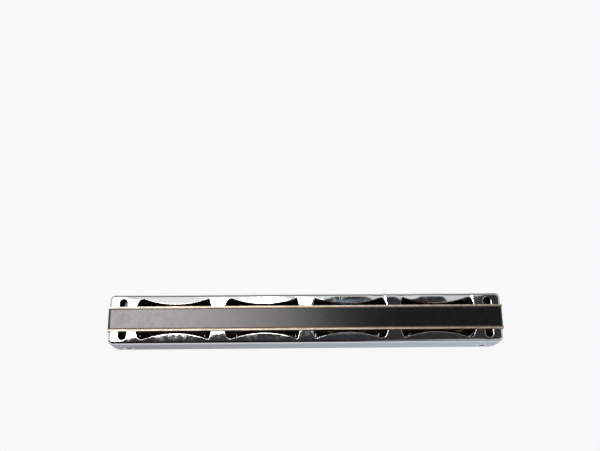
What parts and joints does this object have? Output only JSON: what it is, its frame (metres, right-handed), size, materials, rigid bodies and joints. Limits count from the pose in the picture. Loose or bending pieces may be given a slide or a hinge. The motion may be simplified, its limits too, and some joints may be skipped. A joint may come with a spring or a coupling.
{
  "type": "tremolo harmonica",
  "caption": "Tremolo harmonica with a black comb, brass reed plates, paired swinging reeds and two bright pressed covers with open windows in their back flanges.",
  "frame": {"origin": "middle of the mouthpiece face, which the harmonica stands on", "axes": "+X along the row of notes towards the lowest note, +Y towards the top cover, +Z from the mouthpiece to the open back"},
  "size_m": [0.17, 0.0216, 0.027],
  "materials": {
    "comb_plastic": "satin black moulded plastic",
    "plate_brass": "rolled brass, cut edge",
    "reed_brass": "milled brass",
    "rivet_brass": "turned brass",
    "screw_steel": "plated steel",
    "bolt_steel": "bright plated steel",
    "cover_chrome": "polished chrome plate"
  },
  "bodies": {
    "harmonica_body": {"comb": "comb_plastic", "top_reed_plate": "plate_brass", "bottom_reed_plate": "plate_brass", "top_reed_rivets": "rivet_brass", "bottom_reed_rivets": "rivet_brass", "top_plate_screws": "screw_steel", "bottom_plate_screws": "screw_steel", "top_cover": "cover_chrome", "bottom_cover": "cover_chrome", "cover_bolts": "bolt_steel", "cover_nuts": "bolt_steel"},
    "top_blow_reed_01": {"top_blow_reed_01": "reed_brass"},
    "top_draw_reed_02": {"top_draw_reed_02": "reed_brass"},
    "top_blow_reed_03": {"top_blow_reed_03": "reed_brass"},
    "top_draw_reed_04": {"top_draw_reed_04": "reed_brass"},
    "top_blow_reed_05": {"top_blow_reed_05": "reed_brass"},
    "top_draw_reed_06": {"top_draw_reed_06": "reed_brass"},
    "top_blow_reed_07": {"top_blow_reed_07": "reed_brass"},
    "top_draw_reed_08": {"top_draw_reed_08": "reed_brass"},
    "top_blow_reed_09": {"top_blow_reed_09": "reed_brass"},
    "top_draw_reed_10": {"top_draw_reed_10": "reed_brass"},
    "top_blow_reed_11": {"top_blow_reed_11": "reed_brass"},
    "top_draw_reed_12": {"top_draw_reed_12": "reed_brass"},
    "top_blow_reed_13": {"top_blow_reed_13": "reed_brass"},
    "top_draw_reed_14": {"top_draw_reed_14": "reed_brass"},
    "top_blow_reed_15": {"top_blow_reed_15": "reed_brass"},
    "top_draw_reed_16": {"top_draw_reed_16": "reed_brass"},
    "top_blow_reed_17": {"top_blow_reed_17": "reed_brass"},
    "top_draw_reed_18": {"top_draw_reed_18": "reed_brass"},
    "top_blow_reed_19": {"top_blow_reed_19": "reed_brass"},
    "top_draw_reed_20": {"top_draw_reed_20": "reed_brass"},
    "top_blow_reed_21": {"top_blow_reed_21": "reed_brass"},
    "top_draw_reed_22": {"top_draw_reed_22": "reed_brass"},
    "bottom_blow_reed_01": {"bottom_blow_reed_01": "reed_brass"},
    "bottom_draw_reed_02": {"bottom_draw_reed_02": "reed_brass"},
    "bottom_blow_reed_03": {"bottom_blow_reed_03": "reed_brass"},
    "bottom_draw_reed_04": {"bottom_draw_reed_04": "reed_brass"},
    "bottom_blow_reed_05": {"bottom_blow_reed_05": "reed_brass"},
    "bottom_draw_reed_06": {"bottom_draw_reed_06": "reed_brass"},
    "bottom_blow_reed_07": {"bottom_blow_reed_07": "reed_brass"},
    "bottom_draw_reed_08": {"bottom_draw_reed_08": "reed_brass"},
    "bottom_blow_reed_09": {"bottom_blow_reed_09": "reed_brass"},
    "bottom_draw_reed_10": {"bottom_draw_reed_10": "reed_brass"},
    "bottom_blow_reed_11": {"bottom_blow_reed_11": "reed_brass"},
    "bottom_draw_reed_12": {"bottom_draw_reed_12": "reed_brass"},
    "bottom_blow_reed_13": {"bottom_blow_reed_13": "reed_brass"},
    "bottom_draw_reed_14": {"bottom_draw_reed_14": "reed_brass"},
    "bottom_blow_reed_15": {"bottom_blow_reed_15": "reed_brass"},
    "bottom_draw_reed_16": {"bottom_draw_reed_16": "reed_brass"},
    "bottom_blow_reed_17": {"bottom_blow_reed_17": "reed_brass"},
    "bottom_draw_reed_18": {"bottom_draw_reed_18": "reed_brass"},
    "bottom_blow_reed_19": {"bottom_blow_reed_19": "reed_brass"},
    "bottom_draw_reed_20": {"bottom_draw_reed_20": "reed_brass"},
    "bottom_blow_reed_21": {"bottom_blow_reed_21": "reed_brass"},
    "bottom_draw_reed_22": {"bottom_draw_reed_22": "reed_brass"}
  },
  "joints": [
    {"name": "top_blow_reed_01_swing", "type": "hinge", "parent": "harmonica_body", "child": "top_blow_reed_01", "pos_m": [0.0735, 0.00411, 0.0205], "axis": [1, 0, 0], "range_deg": [-2, 2], "stiffness_Nm_per_rad": 0.076},
    {"name": "top_draw_reed_02_swing", "type": "hinge", "parent": "harmonica_body", "child": "top_draw_reed_02", "pos_m": [0.0665, 0.00554, 0.0205], "axis": [1, 0, 0], "range_deg": [-2, 2], "stiffness_Nm_per_rad": 0.078},
    {"name": "top_blow_reed_03_swing", "type": "hinge", "parent": "harmonica_body", "child": "top_blow_reed_03", "pos_m": [0.0595, 0.00411, 0.0205], "axis": [1, 0, 0], "range_deg": [-2, 2], "stiffness_Nm_per_rad": 0.081},
    {"name": "top_draw_reed_04_swing", "type": "hinge", "parent": "harmonica_body", "child": "top_draw_reed_04", "pos_m": [0.0525, 0.00554, 0.0205], "axis": [1, 0, 0], "range_deg": [-2, 2], "stiffness_Nm_per_rad": 0.083},
    {"name": "top_blow_reed_05_swing", "type": "hinge", "parent": "harmonica_body", "child": "top_blow_reed_05", "pos_m": [0.0455, 0.00411, 0.0205], "axis": [1, 0, 0], "range_deg": [-2, 2], "stiffness_Nm_per_rad": 0.086},
    {"name": "top_draw_reed_06_swing", "type": "hinge", "parent": "harmonica_body", "child": "top_draw_reed_06", "pos_m": [0.0385, 0.00554, 0.0205], "axis": [1, 0, 0], "range_deg": [-2, 2], "stiffness_Nm_per_rad": 0.088},
    {"name": "top_blow_reed_07_swing", "type": "hinge", "parent": "harmonica_body", "child": "top_blow_reed_07", "pos_m": [0.0315, 0.00411, 0.0205], "axis": [1, 0, 0], "range_deg": [-2, 2], "stiffness_Nm_per_rad": 0.091},
    {"name": "top_draw_reed_08_swing", "type": "hinge", "parent": "harmonica_body", "child": "top_draw_reed_08", "pos_m": [0.0245, 0.00554, 0.0205], "axis": [1, 0, 0], "range_deg": [-2, 2], "stiffness_Nm_per_rad": 0.094},
    {"name": "top_blow_reed_09_swing", "type": "hinge", "parent": "harmonica_body", "child": "top_blow_reed_09", "pos_m": [0.0175, 0.00411, 0.0205], "axis": [1, 0, 0], "range_deg": [-2, 2], "stiffness_Nm_per_rad": 0.098},
    {"name": "top_draw_reed_10_swing", "type": "hinge", "parent": "harmonica_body", "child": "top_draw_reed_10", "pos_m": [0.0105, 0.00554, 0.0205], "axis": [1, 0, 0], "range_deg": [-2, 2], "stiffness_Nm_per_rad": 0.101},
    {"name": "top_blow_reed_11_swing", "type": "hinge", "parent": "harmonica_body", "child": "top_blow_reed_11", "pos_m": [0.0035, 0.00411, 0.0205], "axis": [1, 0, 0], "range_deg": [-2, 2], "stiffness_Nm_per_rad": 0.105},
    {"name": "top_draw_reed_12_swing", "type": "hinge", "parent": "harmonica_body", "child": "top_draw_reed_12", "pos_m": [-0.0035, 0.00554, 0.0205], "axis": [1, 0, 0], "range_deg": [-2, 2], "stiffness_Nm_per_rad": 0.109},
    {"name": "top_blow_reed_13_swing", "type": "hinge", "parent": "harmonica_body", "child": "top_blow_reed_13", "pos_m": [-0.0105, 0.00411, 0.0205], "axis": [1, 0, 0], "range_deg": [-2, 2], "stiffness_Nm_per_rad": 0.114},
    {"name": "top_draw_reed_14_swing", "type": "hinge", "parent": "harmonica_body", "child": "top_draw_reed_14", "pos_m": [-0.0175, 0.00554, 0.0205], "axis": [1, 0, 0], "range_deg": [-2, 2], "stiffness_Nm_per_rad": 0.119},
    {"name": "top_blow_reed_15_swing", "type": "hinge", "parent": "harmonica_body", "child": "top_blow_reed_15", "pos_m": [-0.0245, 0.00411, 0.0205], "axis": [1, 0, 0], "range_deg": [-2, 2], "stiffness_Nm_per_rad": 0.124},
    {"name": "top_draw_reed_16_swing", "type": "hinge", "parent": "harmonica_body", "child": "top_draw_reed_16", "pos_m": [-0.0315, 0.00554, 0.0205], "axis": [1, 0, 0], "range_deg": [-2, 2], "stiffness_Nm_per_rad": 0.13},
    {"name": "top_blow_reed_17_swing", "type": "hinge", "parent": "harmonica_body", "child": "top_blow_reed_17", "pos_m": [-0.0385, 0.00411, 0.0205], "axis": [1, 0, 0], "range_deg": [-2, 2], "stiffness_Nm_per_rad": 0.136},
    {"name": "top_draw_reed_18_swing", "type": "hinge", "parent": "harmonica_body", "child": "top_draw_reed_18", "pos_m": [-0.0455, 0.00554, 0.0205], "axis": [1, 0, 0], "range_deg": [-2, 2], "stiffness_Nm_per_rad": 0.143},
    {"name": "top_blow_reed_19_swing", "type": "hinge", "parent": "harmonica_body", "child": "top_blow_reed_19", "pos_m": [-0.0525, 0.00411, 0.0205], "axis": [1, 0, 0], "range_deg": [-2, 2], "stiffness_Nm_per_rad": 0.151},
    {"name": "top_draw_reed_20_swing", "type": "hinge", "parent": "harmonica_body", "child": "top_draw_reed_20", "pos_m": [-0.0595, 0.00554, 0.0205], "axis": [1, 0, 0], "range_deg": [-2, 2], "stiffness_Nm_per_rad": 0.159},
    {"name": "top_blow_reed_21_swing", "type": "hinge", "parent": "harmonica_body", "child": "top_blow_reed_21", "pos_m": [-0.0665, 0.00411, 0.0205], "axis": [1, 0, 0], "range_deg": [-2, 2], "stiffness_Nm_per_rad": 0.168},
    {"name": "top_draw_reed_22_swing", "type": "hinge", "parent": "harmonica_body", "child": "top_draw_reed_22", "pos_m": [-0.0735, 0.00554, 0.0205], "axis": [1, 0, 0], "range_deg": [-2, 2], "stiffness_Nm_per_rad": 0.179},
    {"name": "bottom_blow_reed_01_swing", "type": "hinge", "parent": "harmonica_body", "child": "bottom_blow_reed_01", "pos_m": [0.0735, -0.00411, 0.0205], "axis": [-1, 0, 0], "range_deg": [-2, 2], "stiffness_Nm_per_rad": 0.076},
    {"name": "bottom_draw_reed_02_swing", "type": "hinge", "parent": "harmonica_body", "child": "bottom_draw_reed_02", "pos_m": [0.0665, -0.00554, 0.0205], "axis": [-1, 0, 0], "range_deg": [-2, 2], "stiffness_Nm_per_rad": 0.078},
    {"name": "bottom_blow_reed_03_swing", "type": "hinge", "parent": "harmonica_body", "child": "bottom_blow_reed_03", "pos_m": [0.0595, -0.00411, 0.0205], "axis": [-1, 0, 0], "range_deg": [-2, 2], "stiffness_Nm_per_rad": 0.081},
    {"name": "bottom_draw_reed_04_swing", "type": "hinge", "parent": "harmonica_body", "child": "bottom_draw_reed_04", "pos_m": [0.0525, -0.00554, 0.0205], "axis": [-1, 0, 0], "range_deg": [-2, 2], "stiffness_Nm_per_rad": 0.083},
    {"name": "bottom_blow_reed_05_swing", "type": "hinge", "parent": "harmonica_body", "child": "bottom_blow_reed_05", "pos_m": [0.0455, -0.00411, 0.0205], "axis": [-1, 0, 0], "range_deg": [-2, 2], "stiffness_Nm_per_rad": 0.086},
    {"name": "bottom_draw_reed_06_swing", "type": "hinge", "parent": "harmonica_body", "child": "bottom_draw_reed_06", "pos_m": [0.0385, -0.00554, 0.0205], "axis": [-1, 0, 0], "range_deg": [-2, 2], "stiffness_Nm_per_rad": 0.088},
    {"name": "bottom_blow_reed_07_swing", "type": "hinge", "parent": "harmonica_body", "child": "bottom_blow_reed_07", "pos_m": [0.0315, -0.00411, 0.0205], "axis": [-1, 0, 0], "range_deg": [-2, 2], "stiffness_Nm_per_rad": 0.091},
    {"name": "bottom_draw_reed_08_swing", "type": "hinge", "parent": "harmonica_body", "child": "bottom_draw_reed_08", "pos_m": [0.0245, -0.00554, 0.0205], "axis": [-1, 0, 0], "range_deg": [-2, 2], "stiffness_Nm_per_rad": 0.094},
    {"name": "bottom_blow_reed_09_swing", "type": "hinge", "parent": "harmonica_body", "child": "bottom_blow_reed_09", "pos_m": [0.0175, -0.00411, 0.0205], "axis": [-1, 0, 0], "range_deg": [-2, 2], "stiffness_Nm_per_rad": 0.098},
    {"name": "bottom_draw_reed_10_swing", "type": "hinge", "parent": "harmonica_body", "child": "bottom_draw_reed_10", "pos_m": [0.0105, -0.00554, 0.0205], "axis": [-1, 0, 0], "range_deg": [-2, 2], "stiffness_Nm_per_rad": 0.101},
    {"name": "bottom_blow_reed_11_swing", "type": "hinge", "parent": "harmonica_body", "child": "bottom_blow_reed_11", "pos_m": [0.0035, -0.00411, 0.0205], "axis": [-1, 0, 0], "range_deg": [-2, 2], "stiffness_Nm_per_rad": 0.105},
    {"name": "bottom_draw_reed_12_swing", "type": "hinge", "parent": "harmonica_body", "child": "bottom_draw_reed_12", "pos_m": [-0.0035, -0.00554, 0.0205], "axis": [-1, 0, 0], "range_deg": [-2, 2], "stiffness_Nm_per_rad": 0.109},
    {"name": "bottom_blow_reed_13_swing", "type": "hinge", "parent": "harmonica_body", "child": "bottom_blow_reed_13", "pos_m": [-0.0105, -0.00411, 0.0205], "axis": [-1, 0, 0], "range_deg": [-2, 2], "stiffness_Nm_per_rad": 0.114},
    {"name": "bottom_draw_reed_14_swing", "type": "hinge", "parent": "harmonica_body", "child": "bottom_draw_reed_14", "pos_m": [-0.0175, -0.00554, 0.0205], "axis": [-1, 0, 0], "range_deg": [-2, 2], "stiffness_Nm_per_rad": 0.119},
    {"name": "bottom_blow_reed_15_swing", "type": "hinge", "parent": "harmonica_body", "child": "bottom_blow_reed_15", "pos_m": [-0.0245, -0.00411, 0.0205], "axis": [-1, 0, 0], "range_deg": [-2, 2], "stiffness_Nm_per_rad": 0.124},
    {"name": "bottom_draw_reed_16_swing", "type": "hinge", "parent": "harmonica_body", "child": "bottom_draw_reed_16", "pos_m": [-0.0315, -0.00554, 0.0205], "axis": [-1, 0, 0], "range_deg": [-2, 2], "stiffness_Nm_per_rad": 0.13},
    {"name": "bottom_blow_reed_17_swing", "type": "hinge", "parent": "harmonica_body", "child": "bottom_blow_reed_17", "pos_m": [-0.0385, -0.00411, 0.0205], "axis": [-1, 0, 0], "range_deg": [-2, 2], "stiffness_Nm_per_rad": 0.136},
    {"name": "bottom_draw_reed_18_swing", "type": "hinge", "parent": "harmonica_body", "child": "bottom_draw_reed_18", "pos_m": [-0.0455, -0.00554, 0.0205], "axis": [-1, 0, 0], "range_deg": [-2, 2], "stiffness_Nm_per_rad": 0.143},
    {"name": "bottom_blow_reed_19_swing", "type": "hinge", "parent": "harmonica_body", "child": "bottom_blow_reed_19", "pos_m": [-0.0525, -0.00411, 0.0205], "axis": [-1, 0, 0], "range_deg": [-2, 2], "stiffness_Nm_per_rad": 0.151},
    {"name": "bottom_draw_reed_20_swing", "type": "hinge", "parent": "harmonica_body", "child": "bottom_draw_reed_20", "pos_m": [-0.0595, -0.00554, 0.0205], "axis": [-1, 0, 0], "range_deg": [-2, 2], "stiffness_Nm_per_rad": 0.159},
    {"name": "bottom_blow_reed_21_swing", "type": "hinge", "parent": "harmonica_body", "child": "bottom_blow_reed_21", "pos_m": [-0.0665, -0.00411, 0.0205], "axis": [-1, 0, 0], "range_deg": [-2, 2], "stiffness_Nm_per_rad": 0.168},
    {"name": "bottom_draw_reed_22_swing", "type": "hinge", "parent": "harmonica_body", "child": "bottom_draw_reed_22", "pos_m": [-0.0735, -0.00554, 0.0205], "axis": [-1, 0, 0], "range_deg": [-2, 2], "stiffness_Nm_per_rad": 0.179}
  ]
}
